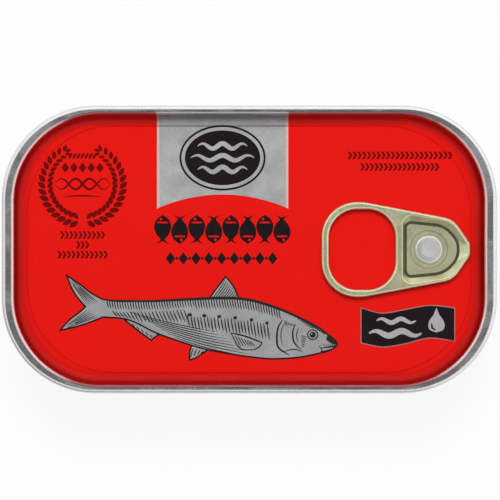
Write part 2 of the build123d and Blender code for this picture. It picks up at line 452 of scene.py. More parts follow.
def paint_rim_shade(n, colour, wall_shade_level, score_shade_level):
    """The colour with painted shade: darker in the score line, and down the drawn wall and a little way in
    from it.
    """
    wall = n.group(INSIDE_OUTLINE, Half_length=RECESS_X, Half_width=RECESS_Y, Corner=RECESS_CORNER)
    score = n.group(INSIDE_OUTLINE, Half_length=SCORE_X, Half_width=SCORE_Y, Corner=SCORE_CORNER)
    darkest = n.range(n.axes(n.place())["Y"], 14.0, 25.0, wall_shade_level, BACK_SHADE)
    shade = n.range(wall["Distance"], FADE_FROM, FADE_TO, darkest, 1.0)
    line = n.range(n.math("ABSOLUTE", score["Distance"]), 0.08, 0.24, score_shade_level, 1.0)
    return n.scaled(colour, n.math("MULTIPLY", shade, line))


def red_lacquer():
    material, n, shader = new_material("red_lacquer")
    clouds = n.group(
        CLOUDY,
        Colour=(0.765, 0.0068, 0.0036, 1),
        Other_colour=(0.735, 0.0058, 0.0030, 1),
        Patch_size=14.0,
        Speckle_size=0.5,
        Amount=0.7,
    )
    scuffs = n.group(SCUFFS, Spacing=11.0, Sharpness=0.35)
    # Painted shade in the score line and down the drawn wall.
    n.feed(shader.inputs["Base Color"], paint_rim_shade(n, clouds["Colour"], 0.32, 0.8))
    rough = n.math("ADD", 0.36, n.math("MULTIPLY", scuffs["Smudges"], 0.07))
    n.feed(shader.inputs["Roughness"], n.math("ADD", rough, n.math("MULTIPLY", clouds["Clouds"], 0.04)))
    shader.inputs["Specular IOR Level"].default_value = 0.22
    peel = n.noise(n.place(), 1.6, 2.0)
    set_bump(n, shader, n.math("SUBTRACT", peel, n.math("MULTIPLY", scuffs["Scuffs"], 0.3)), 0.004)
    return material


def gold_lacquer():
    """Thin gold lacquer over the tab's steel. Its edges are pale cream, part wear of the lacquer and part
    painted highlight.
    """
    material, n, shader = new_material("gold_lacquer")
    clouds = n.group(
        CLOUDY,
        Colour=(0.68, 0.66, 0.43, 1),
        Other_colour=(0.54, 0.56, 0.35, 1),
        Patch_size=3.0,
        Speckle_size=0.35,
        Amount=0.9,
    )
    wear_glint_mask = n.group(WEAR_AND_GLINT, Width=0.00025, Amount=0.8)["Mask"]
    streaks = n.group(GRAIN, Lengthen=(9, 1, 1), Streak_size=0.12)["Streaks"]
    scuffs = n.group(SCUFFS, Spacing=3.0, Sharpness=0.7)
    # Pale cream edges, part wear and part painted highlight.
    worn_glint = n.mix(wear_glint_mask, clouds["Colour"], (0.96, 0.82, 0.66, 1))
    # Painted shade: darker the deeper an upward face lies in the groove round the sunk plate.
    pressed = n.group(GROOVE_SHADE_DEPTH, Level=PLATE_TOP)["Depth"]
    n.feed(shader.inputs["Base Color"], n.scaled(worn_glint, n.range(pressed, 0.0, 0.4, 1.0, 0.16)))
    rough = n.math("ADD", 0.29, n.math("MULTIPLY", n.math("SUBTRACT", streaks, 0.5), 0.2))
    n.feed(shader.inputs["Roughness"], n.math("ADD", rough, n.math("MULTIPLY", scuffs["Smudges"], 0.06)))
    shader.inputs["Metallic"].default_value = 0.75
    set_bump(n, shader, n.math("SUBTRACT", streaks, n.math("MULTIPLY", scuffs["Scuffs"], 0.5)), 0.006)
    return material


def edge_lacquer():
    """The lacquer where the wall turns into the seam: thin along the sides, and paler towards the ends as a
    painted highlight.
    """
    material, n, shader = new_material("edge_lacquer")
    clouds = n.group(
        CLOUDY,
        Colour=(0.34, 0.12, 0.13, 1),
        Other_colour=(0.26, 0.09, 0.10, 1),
        Patch_size=4.0,
        Speckle_size=0.5,
        Amount=0.9,
    )
    scuffs = n.group(SCUFFS, Spacing=5.0, Sharpness=0.6)
    here = n.axes(n.place())
    to_end = n.math("ADD", n.math("ABSOLUTE", here["X"]), n.math("MULTIPLY", scuffs["Smudges"], 3.0))
    # Paler towards the ends: a painted highlight.
    worn_glint = n.mix(n.range(to_end, 37.0, 48.0), clouds["Colour"], (0.70, 0.54, 0.55, 1))
    across = n.math("ABSOLUTE", n.math("SUBTRACT", here["X"], BAND_MIDDLE))
    in_band = n.range(across, BAND_HALF_WIDTH - 0.04, BAND_HALF_WIDTH + 0.04, 1.0, 0.0)
    on_band = n.math("MULTIPLY", in_band, n.range(here["Y"], 0.0, 1.0))
    n.feed(shader.inputs["Base Color"], n.mix(on_band, worn_glint, (0.42, 0.42, 0.43, 1)))
    n.feed(shader.inputs["Roughness"], n.math("ADD", 0.26, n.math("MULTIPLY", scuffs["Smudges"], 0.1)))
    shader.inputs["Metallic"].default_value = 0.9
    set_bump(n, shader, n.math("SUBTRACT", clouds["Clouds"], scuffs["Scuffs"]), 0.003)
    return material


def printing_ink(name, colour, other, roughness=0.42, metallic=0.0, amount=0.8, speckle=0.35, rim_shade_level=1.0):
    """Matt ink, a little uneven. Its last argument is how bright it stays under the painted shade down the
    drawn wall.
    """
    material, n, shader = new_material(name)
    clouds = n.group(
        CLOUDY, Colour=colour, Other_colour=other, Patch_size=4.0, Speckle_size=speckle, Amount=amount
    )
    scuffs = n.group(SCUFFS, Spacing=8.0, Sharpness=0.5)
    tone = clouds["Colour"]
    # Painted shade in the score line and down the drawn wall.
    if rim_shade_level < 1.0:
        tone = paint_rim_shade(n, tone, rim_shade_level, 0.6)
    n.feed(shader.inputs["Base Color"], tone)
    rough = n.math("ADD", roughness, n.math("MULTIPLY", scuffs["Smudges"], 0.08))
    n.feed(shader.inputs["Roughness"], rough)
    shader.inputs["Metallic"].default_value = metallic
    shader.inputs["Specular IOR Level"].default_value = 0.1
    set_bump(n, shader, n.math("SUBTRACT", clouds["Clouds"], scuffs["Scuffs"]), 0.002)
    return material


BODY_METAL = tinplate(
    "body_tinplate",
    (0.53, 0.525, 0.53, 1),
    (0.40, 0.395, 0.41, 1),
    (1, 1, 40),
    0.2,
    patch_size=28.0,
    streak_size=0.5,
)
SEAM_METAL = tinplate(
    "seam_tinplate", (0.72, 0.71, 0.72, 1), (0.63, 0.62, 0.64, 1), (12, 1, 1), 0.2, worn_glint=0.7
)
RIVET_METAL = tinplate(
    "rivet_tinplate", (0.76, 0.76, 0.72, 1), (0.58, 0.58, 0.56, 1), (1, 1, 1), 0.38, worn_glint=0.6
)
RED = red_lacquer()
GOLD = gold_lacquer()
EDGE_LACQUER = edge_lacquer()
# The band and its pale edging get painted shade down the drawn wall.
BAND_SILVER = printing_ink(
    "band_silver",
    (0.475, 0.475, 0.475, 1),
    (0.27, 0.27, 0.28, 1),
    roughness=0.45,
    metallic=0.3,
    amount=0.65,
    speckle=0.3,
    rim_shade_level=0.4,
)
PALE_EDGING = printing_ink("pale_edging", (0.72, 0.50, 0.46, 1), (0.64, 0.42, 0.38, 1), rim_shade_level=0.5)
EDGING_INK = printing_ink("edging_ink", (0.36, 0.19, 0.19, 1), (0.30, 0.15, 0.15, 1))
BLACK = printing_ink("black_ink", (0.008, 0.005, 0.006, 1), (0.013, 0.008, 0.009, 1))
CHARCOAL = printing_ink("charcoal_ink", (0.018, 0.014, 0.015, 1), (0.028, 0.022, 0.023, 1))
MAROON = printing_ink("maroon_ink", (0.130, 0.0020, 0.0015, 1), (0.170, 0.0030, 0.0022, 1))
GREY = printing_ink("grey_ink", (0.37, 0.37, 0.37, 1), (0.26, 0.26, 0.265, 1), speckle=0.3)
LEAD_GREY = printing_ink("lead_grey_ink", (0.42, 0.41, 0.43, 1), (0.36, 0.35, 0.37, 1))


# ------------------------------------------------------------------ the CAD nodes' finishes


LACQUER_OVERLAP = 0.6  # how far the lacquer runs out over the seam's inner round


def in_recess(x, y, grown):
    """True inside the recess's outline grown by a distance."""
    dx = abs(x) - (RECESS_X - RECESS_CORNER)
    dy = abs(y) - (RECESS_Y - RECESS_CORNER)
    reach = RECESS_CORNER + grown
    if dx < 0 or dy < 0:
        return dx < reach and dy < reach
    return math.hypot(dx, dy) < reach


def finish_lid():
    """The recess is lacquered, up to its turn into the seam; the seam and the rivet are bare."""
    mesh = LID.data
    mesh.materials.clear()
    for material in (SEAM_METAL, RED, RIVET_METAL, EDGE_LACQUER):
        mesh.materials.append(material)
    seam, recess, rivet, edge = range(4)
    for face in mesh.polygons:
        x, y, z = (c / MM for c in face.center)
        if math.hypot(x - RIVET_X, y) < RIVET_REACH and z > PANEL + 0.01:
            face.material_index = rivet
        elif PANEL - 0.15 < z < WALL_TOP + 0.02 and in_recess(x, y, 0.08):
            face.material_index = recess
        elif z > WALL_TOP and in_recess(x, y, LACQUER_OVERLAP):
            face.material_index = edge
        else:
            face.material_index = seam


def finish_node(node, material):
    node.data.materials.clear()
    node.data.materials.append(material)


finish_lid()
finish_node(BODY, BODY_METAL)
finish_node(TAB, GOLD)


# ------------------------------------------------------------------ the silver band over the lid's edge

BAND_FOOT = 8.75  # y of the band's lower corners
BAND_ARCH = 11.75  # y of the middle of its lower edge
EDGING = 0.5  # width of the pale line down each side


def arch(x):
    """The y of the band's lower edge, which is part of a circle."""
    rise = BAND_ARCH - BAND_FOOT
    radius = (BAND_HALF_WIDTH**2 + rise**2) / (2 * rise)
    return BAND_ARCH - radius + math.sqrt(radius**2 - (x - BAND_MIDDLE) ** 2)


def up_the_wall(lift):
    """(y, z) over the score line, round the foot of the wall and up it, that far off the surface."""
    centre_z = PANEL + WALL_ROUND
    centre_y = RECESS_Y - (SEAM_TOP - centre_z) * math.tan(WALL_LEAN) - WALL_ROUND / math.cos(WALL_LEAN)
    reach = WALL_ROUND - lift
    low, edge = PANEL + lift, SCORE_HALF_WIDTH
    section = [
        (SCORE_Y - edge, low),
        (SCORE_Y - edge + lift, low - SCORE_DEPTH),
        (SCORE_Y + edge - lift, low - SCORE_DEPTH),
        (SCORE_Y + edge, low),
    ]
    for i in range(11):
        turn = -math.pi / 2 + (math.pi / 2 - WALL_LEAN) * i / 10
        section.append((centre_y + reach * math.cos(turn), centre_z + reach * math.sin(turn)))
    wall_y = RECESS_Y - (SEAM_TOP - WALL_TOP) * math.tan(WALL_LEAN) - lift / math.cos(WALL_LEAN)
    return [*section, (wall_y, WALL_TOP)]


def band_strip(name, left, right, layer, material, columns):
    """A strip of print from the arched edge up to the seam."""
    bm = bmesh.new()
    low, high = up_the_wall((2 * layer - 1) * INK), up_the_wall(2 * layer * INK)
    xs = [left + (right - left) * i / columns for i in range(columns + 1)]
    steps = 8  # from the arched edge to the score line
    grids = []
    for section in (low, high):
        score_y, level = section[0]
        rows = []
        for x in xs:
            foot = arch(x)
            run = [(foot + (score_y - foot) * k / steps, level) for k in range(steps)]
            rows.append([bm.verts.new((x * MM, y * MM, z * MM)) for y, z in [*run, *section]])
        grids.append(rows)
    under, over = grids
    count = len(over[0])
    for i in range(columns):
        for k in range(count - 1):
            bm.faces.new([over[i][k], over[i + 1][k], over[i + 1][k + 1], over[i][k + 1]])
            bm.faces.new([under[i][k], under[i][k + 1], under[i + 1][k + 1], under[i + 1][k]])
        for k in (0, count - 1):
            bm.faces.new([over[i][k], over[i + 1][k], under[i + 1][k], under[i][k]])
    for i in (0, columns):
        for k in range(count - 1):
            bm.faces.new([over[i][k], over[i][k + 1], under[i][k + 1], under[i][k]])
    return object_from(bm, name, material)


band_strip("band", BAND_LEFT + EDGING, BAND_RIGHT - EDGING, 1, BAND_SILVER, 40)
band_strip("band_edging_left", BAND_LEFT, BAND_LEFT + EDGING, 1, PALE_EDGING, 2)
band_strip("band_edging_right", BAND_RIGHT - EDGING, BAND_RIGHT, 1, PALE_EDGING, 2)


# ------------------------------------------------------------------ emblem on the band: a seal with waves

SEAL_X, SEAL_Y = -5.7, 19.6
SEAL_WIDE, SEAL_HIGH = 9.2, 7.0


def wave_line(x, y, length, rise, waves, steps=10):
    """A line of even waves about a point."""
    count = round(waves * steps)
    return [
        (x + length * (i / count - 0.5), y + rise * math.sin(2 * math.pi * waves * i / count))
        for i in range(count + 1)
    ]


def seal():
    """A thin oval ring round an oval disc, with three waves left open in the disc."""
    ring = (
        oval(SEAL_X, SEAL_Y, SEAL_WIDE, SEAL_HIGH),
        [oval(SEAL_X, SEAL_Y, SEAL_WIDE - 0.42, SEAL_HIGH - 0.42)],
    )
    waves = [
        stroke(wave_line(SEAL_X, SEAL_Y + dy, length, 0.55, 2.5), 1.05)
        for dy, length in ((2.5, 10.6), (0.0, 13.6), (-2.5, 10.6))
    ]
    disc = (oval(SEAL_X, SEAL_Y, SEAL_WIDE - 1.15, SEAL_HIGH - 1.15), waves)
    return [ring, disc]


printed("seal", seal(), 2, BLACK)


# ------------------------------------------------------------------ friezes and rows in place of words

TITLE_LEFT, TITLE_RIGHT = -20.3, 8.8
TITLE_FOOT, TITLE_TOP = 1.2, 7.4
TITLE_FISH = 8


def small_fish(length, width):
    """A small fish along +X, with its eye and its gill left open."""
    upper = smooth(
        [
            (0.0, 0.4 * width),
            (0.15 * length, 0.13 * width),
            (0.34 * length, 0.38 * width),
            (0.6 * length, 0.5 * width),
            (0.84 * length, 0.36 * width),
            (length, 0.0),
        ]
    )
    outline = upper + [(x, -y) for x, y in upper[-2::-1]] + [(0.09 * length, 0.0)]
    gill_line = smooth([(0.74 * length, y * width) for y in (0.33, 0.2, 0.0, -0.2, -0.33)])
    gill = stroke(gill_line, 0.11 * width, 0.4, 0.4)
    eye = oval(0.86 * length, 0.1 * width, 0.075 * width, 0.075 * width, 12)
    return outline, [gill, eye]


def packed_fish():
    """A row of fish, head by tail, as they lie in the tin."""
    step = (TITLE_RIGHT - TITLE_LEFT) / TITLE_FISH
    length = TITLE_TOP - TITLE_FOOT
    outline, marks = small_fish(length, step)
    shapes = []
    for i in range(TITLE_FISH):
        x = TITLE_LEFT + (i + 0.5) * step
        foot, turn = (TITLE_FOOT, math.pi / 2) if i % 2 == 0 else (TITLE_TOP, -math.pi / 2)
        shapes.append((placed(outline, x, foot, turn), [placed(mark, x, foot, turn) for mark in marks]))
    return shapes


def bead_row(left, right, y, height, count):
    """Lozenges and dots by turns, in a row."""
    step = (right - left) / count
    shapes = []
    for i in range(count):
        x = left + (i + 0.5) * step
        if i % 2 == 0:
            shapes.append(placed(lozenge(1.5 * step, height), x, y))
        else:
            shapes.append(oval(x, y, 0.22 * step, 0.22 * step, 14))
    return shapes


def rope_row(left, right, y, height, count):
    """Slanting strokes in a row, like the strands of a rope."""
    step = (right - left) / count
    lean = 0.38 * step
    shapes = []
    for i in range(count):
        x = left + (i + 0.5) * step
        line = [(x - lean, y - height / 2), (x - 0.4 * lean, y - 0.2 * height)]
        line += [(x + 0.4 * lean, y + 0.2 * height), (x + lean, y + height / 2)]
        shapes.append(stroke(smooth(line, 4), 0.62 * step, 0.45, 0.45))
    return shapes


def chevron_row(left, right, y, height, count):
    """Arrowheads in a row, like a fishbone."""
    step = (right - left) / count
    thick = 0.52 * step
    shapes = []
    for i in range(count):
        x = left + i * step
        tip = x + step * 1.12
        back = x + 0.1 * step
        shapes.append(
            [
                (back, y - height / 2),
                (back + thick, y - height / 2),
                (tip, y),
                (back + thick, y + height / 2),
                (back, y + height / 2),
                (tip - thick, y),
            ]
        )
    return shapes


printed("title_fish", packed_fish(), 1, BLACK)
printed("title_beads", bead_row(-17.5, 5.7, -1.9, 2.7, 17), 1, BLACK)
corner_rows = chevron_row(20.9, 43.3, 20.1, 1.6, 22) + chevron_row(23.6, 40.5, 17.65, 1.6, 17)
printed("corner_rows", corner_rows, 1, MAROON)


# ------------------------------------------------------------------ wreath

WREATH_X, WREATH_Y = -35.6, 14.0
WREATH_RADIUS = 7.75
LEAVES = 16  # pairs on each branch
FIRST_LEAF, LAST_LEAF, TIP_LEAF = 7, 150, 152  # degrees round from the bottom
LEAF_LEAN = 43  # degrees between a leaf and its branch
LEAF_FOOT = 0.22  # from the middle of the branch to a leaf's foot
OUTER_LEAF, INNER_LEAF, END_LEAF = (2.25, 1.16), (1.9, 0.92), (1.3, 0.7)  # length and width


def on_branch(turn):
    """The point of a branch at that angle about the wreath's middle."""
    return WREATH_X + WREATH_RADIUS * math.cos(turn), WREATH_Y + WREATH_RADIUS * math.sin(turn)


def wreath():
    """Two leafy branches that meet at the bottom and stay open at the top."""
    shapes = []
    for side in (-1, 1):
        for i in range(LEAVES):
            up = i / (LEAVES - 1)
            turn = math.radians(-90 + side * (FIRST_LEAF + (LAST_LEAF - FIRST_LEAF) * up))
            along = turn + side * math.pi / 2
            x, y = on_branch(turn)
            size = 1.0 - 0.3 * up**3
            for flare, sizes in ((side, INNER_LEAF), (-side, OUTER_LEAF)):
                across = along + flare * math.pi / 2
                px, py = x + LEAF_FOOT * math.cos(across), y + LEAF_FOOT * math.sin(across)
                lean = along + flare * math.radians(LEAF_LEAN)
                shapes.append(placed(leaf(*sizes), px, py, lean, size))
        tip = math.radians(-90 + side * TIP_LEAF)
        shapes.append(placed(leaf(*END_LEAF), *on_branch(tip), tip + side * math.pi / 2))
    return shapes


def wreath_filling():
    """A rope, a row of lozenges, a braid and a line under it."""
    shapes = rope_row(WREATH_X - 3.0, WREATH_X + 3.0, 20.0, 1.25, 7)
    shapes += [placed(lozenge(1.7, 2.1), WREATH_X + 1.85 * i, 17.5) for i in (-2, -1, 0, 1, 2)]
    for rise in (1.15, -1.15):
        shapes.append(stroke(wave_line(WREATH_X, WREATH_Y, 12.0, rise, 2.0, 14), 0.5, 0.05, 0.05))
    shapes.append(stroke(smooth([(-39.7, 11.35), (-35.7, 11.5), (-31.6, 11.3)]), 0.34, 0.1, 0.1))
    return shapes


printed("wreath", wreath() + wreath_filling(), 1, MAROON)
wreath_rows = chevron_row(-40.5, -30.9, 3.1, 1.6, 10)
wreath_rows += chevron_row(-37.1, -34.3, 1.0, 1.6, 3)
wreath_rows += chevron_row(-41.1, -30.3, -1.1, 1.6, 11)
printed("wreath_rows", wreath_rows, 1, MAROON)


# ------------------------------------------------------------------ waving banner

BANNER_LEFT, BANNER_RIGHT = 24.0, 43.8
BANNER_TOP = [(0.0, -12.6), (0.22, -13.7), (0.45, -13.0), (0.7, -12.1), (0.86, -12.2), (1.0, -12.6)]
BANNER_FOOT = [(0.0, -19.85), (0.22, -20.7), (0.45, -20.1), (0.7, -18.85), (0.86, -19.0), (1.0, -19.45)]


def banner(grown):
    """The banner's outline, grown by a distance."""
    wide = BANNER_RIGHT - BANNER_LEFT
    lines = []
    for edge, out in ((BANNER_TOP, grown), (BANNER_FOOT, -grown)):
        lines.append(smooth([(BANNER_LEFT - grown + u * (wide + 2 * grown), y + out) for u, y in edge]))
    return lines[0] + lines[1][::-1]


def droplet(x, y, radius):
    """A drop of oil, point up."""
    side = smooth([(0.0, 1.9), (0.34, 1.05), (0.82, 0.35), (1.0, -0.3), (0.78, -0.85), (0.0, -1.15)], 6)
    outline = side + [(-px, py) for px, py in side[-2:0:-1]]
    return placed(outline, x, y, 0.0, radius)


def banner_marks():
    gleam = stroke(smooth([(39.0, -15.7), (39.1, -16.7), (39.85, -17.2)]), 0.4, 0.3, 0.3)
    return [
        (droplet(40.0, -15.7, 1.75), [gleam]),
        stroke(wave_line(31.4, -15.2, 8.4, 0.42, 2.0, 12), 1.0, 0.25, 0.25),
        stroke(wave_line(31.2, -17.9, 11.2, 0.5, 2.0, 14), 1.35, 0.25, 0.25),
    ]


printed("banner_edging", [(banner(0.2), [banner(0.0)])], 1, EDGING_INK)
printed("banner", [banner(0.0)], 1, BLACK)
printed("banner_marks", banner_marks(), 2, LEAD_GREY)


# ------------------------------------------------------------------ engraved fish

BACK = [
    (-31.2, -10.5),
    (-27.0, -10.9),
    (-18.0, -10.7),
    (-9.0, -10.2),
    (-2.0, -10.3),
    (2.8, -11.2),
    (7.4, -12.9),
    (12.0, -15.0),
    (15.6, -17.0),
    (18.3, -19.1),
    (19.1, -20.3),
]
BELLY = [
    (19.1, -20.3),
    (17.7, -21.5),
    (15.0, -22.3),
    (10.4, -23.2),
    (5.0, -23.5),
    (0.4, -23.1),
    (-5.0, -22.3),
    (-10.0, -21.3),
    (-15.4, -19.6),
    (-20.3, -17.8),
    (-24.0, -15.9),
    (-27.0, -14.9),
    (-31.3, -14.6),
]
TAIL = [
    [(-31.3, -14.6), (-34.0, -15.7), (-37.2, -16.7), (-40.8, -17.5)],
    [(-40.8, -17.5), (-38.6, -15.0), (-36.4, -13.3), (-35.2, -12.2)],
    [(-35.2, -12.2), (-36.9, -10.2), (-38.3, -7.8), (-39.3, -5.1)],
    [(-39.3, -5.1), (-36.2, -7.2), (-33.6, -9.2), (-31.2, -10.5)],
]
FINS = {
    "dorsal": [
        [(-8.6, -10.3), (-6.9, -7.9), (-5.0, -5.5)],
        [(-5.0, -5.5), (-3.3, -7.7), (-2.1, -10.3)],
        [(-2.1, -10.3), (-5.0, -11.6), (-8.6, -10.3)],
    ],
    "anal": [
        [(-26.9, -15.0), (-24.2, -17.2), (-20.9, -19.6)],
        [(-20.9, -19.6), (-20.1, -18.9), (-19.2, -18.3)],
        [(-19.2, -18.3), (-21.5, -15.8), (-26.9, -14.6)],
    ],
    "pelvic": [
        [(-12.5, -20.5), (-12.9, -22.1), (-12.9, -23.8)],
        [(-12.9, -23.8), (-11.2, -23.2), (-8.8, -21.6)],
        [(-8.8, -21.6), (-10.4, -19.8), (-12.5, -20.5)],
    ],
}
EYE_X, EYE_Y = 13.55, -18.2
FISH_EDGE = 0.34  # thickness of the line round the fish


def joined(runs, steps=6):
    """Smooth runs end to end, with a corner where two meet."""
    line = []
    for run in runs:
        line += smooth(run, steps)[:-1]
    return [*line, runs[-1][-1]]


def drawn_in(outline, distance):
    """The outline moved inwards."""
    area = sum(a[0] * b[1] - b[0] * a[1] for a, b in zip(outline, [*outline[1:], outline[0]]))
    side = 1 if area > 0 else -1
    moved = []
    count = len(outline)
    for i in range(count):
        a, b, c = (Vector(outline[(i + k) % count]) for k in (-1, 0, 1))
        one = (b - a).normalized()
        two = (c - b).normalized()
        normal = Vector((-(one.y + two.y), one.x + two.x))
        if normal.length < 1e-6:
            normal = Vector((-one.y, one.x))
        normal.normalize()
        spread = max(0.45, normal.dot(Vector((-one.y, one.x))))
        moved.append(tuple(b + side * normal * distance / spread))
    return moved


def height_at(line, x):
    """The y of a left-to-right or right-to-left line at x."""
    for a, b in zip(line, line[1:]):
        if min(a[0], b[0]) <= x <= max(a[0], b[0]) and a[0] != b[0]:
            return a[1] + (b[1] - a[1]) * (x - a[0]) / (b[0] - a[0])
    return line[-1][1]


BACK_LINE = smooth(BACK)
BELLY_LINE = smooth(BELLY)


def deepness(x):
    """How deep the body is at x, from back to belly."""
    return height_at(BACK_LINE, x) - height_at(BELLY_LINE, x)


def depth(x, share):
    """A point inside the body, that share of the way from the back to the belly."""
    top, foot = height_at(BACK_LINE, x), height_at(BELLY_LINE, x)
    return (x, top + (foot - top) * share)


def between(a, b, share):
    return (a[0] + (b[0] - a[0]) * share, a[1] + (b[1] - a[1]) * share)


def pen(points, width, start=0.6, end=0.1):
    return stroke(smooth(points, 4), width, start, end)


def back_hatching(hand):
    """Short upright strokes down the back."""
    shapes = []
    x = -30.4
    while x < 6.9:
        length = 1.8 + 0.3 * hand.random() + (0.5 if x > -12 else 0.0)
        foot = length / deepness(x)
        line = [depth(x, 0.03), depth(x + 0.12, foot * 0.55), depth(x + 0.4, foot)]
        shapes.append(pen(line, 0.23, 1.0, 0.2))
        x += 0.53 + 0.06 * hand.random()
    return shapes


def flank_hatching(hand):
    """Slanting strokes behind the spots, and longer upright ones under them."""
    shapes = []
    x = -29.2
    while x < -13.4:
        length = 1.5 + 1.1 * (x + 29.2) / 16
        start = (2.25 + 0.2 * hand.random()) / deepness(x)
        foot = min(0.9, start + length / deepness(x))
        line = [depth(x, start), depth(x + 0.5, (start + foot) / 2), depth(x + 1.15, foot)]
        shapes.append(pen(line, 0.27, 0.5, 0.1))
        x += 0.72 + 0.08 * hand.random()
    while x < 4.6:
        start = 0.36 + 0.03 * hand.random()
        foot = 0.6 + 0.06 * hand.random()
        line = [depth(x, start), depth(x + 0.15, 0.48), depth(x + 0.5, foot)]
        shapes.append(pen(line, 0.3, 0.4, 0.15))
        x += 0.62 + 0.16 * hand.random()
    return shapes


def belly_lines(hand):
    """Long lines that run with the belly."""
    shapes = []
    for i in range(8):
        share = 0.56 + 0.052 * i
        left = -25.6 + 1.35 * i
        right = -7.5 + 1.1 * i + 1.5 * hand.random()
        line = [depth(left + (right - left) * k / 10, share + 0.07 * k / 10) for k in range(11)]
        shapes.append(pen(line, 0.2, 0.4, 0.1))
    return shapes


def fin_rays(hand):
    """Rays of the back fin, the tail and the fins under the body."""
    shapes = []
    for i in range(10):
        u = (i + 0.7) / 10.5
        foot = (-8.2 + 5.7 * u, -10.4)
        tip = between(between((-5.0, -5.7), (-2.2, -10.2), u), foot, 0.07)
        bow = between(foot, tip, 0.5)
        shapes.append(pen([foot, (bow[0] + 0.16, bow[1]), tip], 0.19, 0.8, 0.3))
    lobes = (
        ((-32.2, -11.2), (-34.8, -12.1), (-39.1, -5.4)),
        ((-32.2, -14.4), (-34.9, -12.8), (-40.4, -17.3)),
    )
    for top, foot, tip in lobes:
        for i in range(6):
            start = between(top, foot, (i + 0.3) / 6)
            end = between(start, tip, (0.9, 0.6, 0.8, 0.55, 0.72, 0.85)[i] - 0.05 * hand.random())
            shapes.append(pen([start, between(start, end, 0.5), end], 0.18, 0.25, 0.3))
    for i in range(5):
        x = -25.0 + 0.95 * i
        foot = -15.85 - 0.62 * (x + 25.0)
        shapes.append(pen([(x, foot), (x + 0.6, foot - 0.75)], 0.22, 0.6, 0.2))
    for i in range(4):
        line = [(-12.0 + 0.75 * i, -21.1 - 0.2 * i), (-12.6 + 0.75 * i, -23.2 + 0.35 * i)]
        shapes.append(pen(line, 0.22, 0.7, 0.2))
    for i in range(6):
        line = [(-3.0 + 0.62 * i, -18.4 - 0.24 * i), (-1.7 + 0.6 * i, -20.9 + 0.05 * i)]
        shapes.append(pen(line, 0.22, 0.7, 0.15))
    return shapes


def head_lines(hand):
    """Gill covers, cheek, mouth and the dark top of the head."""
    shapes = [
        pen([(7.2, -14.9), (6.2, -16.6), (5.9, -18.9), (6.3, -21.0), (8.6, -22.6)], 0.42, 0.4, 0.3),
        pen([(8.0, -15.0), (7.0, -16.8), (6.8, -19.0), (7.3, -20.8)], 0.2, 0.2, 0.2),
        pen([(9.9, -15.9), (9.3, -17.6), (9.6, -19.8), (11.2, -21.5)], 0.36, 0.3, 0.2),
        pen([(10.6, -16.6), (10.1, -18.2), (10.4, -19.9)], 0.2, 0.2, 0.2),
        pen([(7.0, -21.9), (9.5, -21.3), (11.6, -21.9)], 0.24, 0.2, 0.2),
        pen([(18.9, -20.4), (17.5, -20.75), (15.4, -21.0)], 0.34, 0.8, 0.2),
        pen([(18.2, -21.0), (16.9, -21.5), (15.2, -21.8)], 0.26, 0.5, 0.2),
        pen([(14.9, -20.6), (15.5, -21.3), (15.3, -22.0)], 0.24, 0.3, 0.3),
        [(16.7, -18.3), (17.9, -18.95), (19.0, -20.15), (18.2, -20.35), (17.2, -19.9), (16.4, -19.2)],
    ]
    for i in range(3):
        start = 0.3 + 0.34 * i
        top = [(x, height_at(BACK_LINE, x) - start) for x in (8.6 + 1.6 * i, 11.6 + i, 13.8, 16.2)]
        shapes.append(pen(top, 0.3 - 0.05 * i, 0.25, 0.7))
    for i in range(6):
        shapes.append(pen([(11.1, -18.4 - 0.42 * i), (12.4 - 0.12 * i, -18.75 - 0.42 * i)], 0.19, 0.5, 0.1))
    for i in range(7):
        x = 7.6 + 0.34 * i
        shapes.append(pen([(x, -15.2 - 0.14 * i), (x + 0.22, -16.3 - 0.1 * hand.random())], 0.18, 0.5, 0.1))
    for i in range(5):
        shapes.append(pen([(16.0 + 0.45 * i, -20.2), (15.9 + 0.45 * i, -20.6)], 0.17, 0.5, 0.3))
    return shapes


def fish_lines():
    """Everything drawn over the fish's skin, in one colour."""
    hand = random.Random(4)
    back_xs = (-31.0, -22, -14, -6, 0, 6, 11, 15, 18.4)
    shapes = [
        stroke(smooth([(x, height_at(BACK_LINE, x) - 0.2) for x in back_xs]), 0.6, 0.3, 0.7),
        pen([(-3.9, -17.8), (-0.6, -18.6), (2.8, -19.9)], 0.36, 0.6, 0.6),
        pen([(2.8, -19.9), (2.1, -20.8), (1.0, -21.4)], 0.3, 0.6, 0.6),
        pen([(1.0, -21.4), (-1.2, -21.4), (-2.4, -20.6), (-3.9, -17.8)], 0.28, 0.6, 0.6),
        (oval(EYE_X, EYE_Y, 1.2, 1.15, 28), [oval(EYE_X, EYE_Y, 0.95, 0.9, 28)]),
        (oval(EYE_X, EYE_Y, 0.66, 0.64, 24), [oval(EYE_X - 0.2, EYE_Y + 0.2, 0.17, 0.17, 10)]),
    ]
    for i, x in enumerate((-12.7, -9.6, -6.4, -3.0, 0.5, 3.8)):
        shapes.append(oval(x, depth(x, 0.35)[1], 0.5 - 0.03 * i, 0.36, 16))
    return (
        shapes
        + back_hatching(hand)
        + flank_hatching(hand)
        + belly_lines(hand)
        + fin_rays(hand)
        + head_lines(hand)
    )


def draw_fish():
    """The fins, then the body over them, each with a black edge, and the lines over both."""
    body = joined([BACK, BELLY, *TAIL])[:-1]
    fins = [joined(runs)[:-1] for runs in FINS.values()]
    printed("fin_edges", fins, 1, BLACK)
    printed("fin_skin", [drawn_in(fin, FISH_EDGE) for fin in fins], 2, GREY)
    printed("fish_edge", [body], 3, BLACK)
    printed("fish_skin", [drawn_in(body, FISH_EDGE)], 4, GREY)
    printed("fish_lines", fish_lines(), 5, CHARCOAL)


draw_fish()


# ------------------------------------------------------------------ floor, light and camera


FLOOR_GAP = 0.03  # between the base and the floor


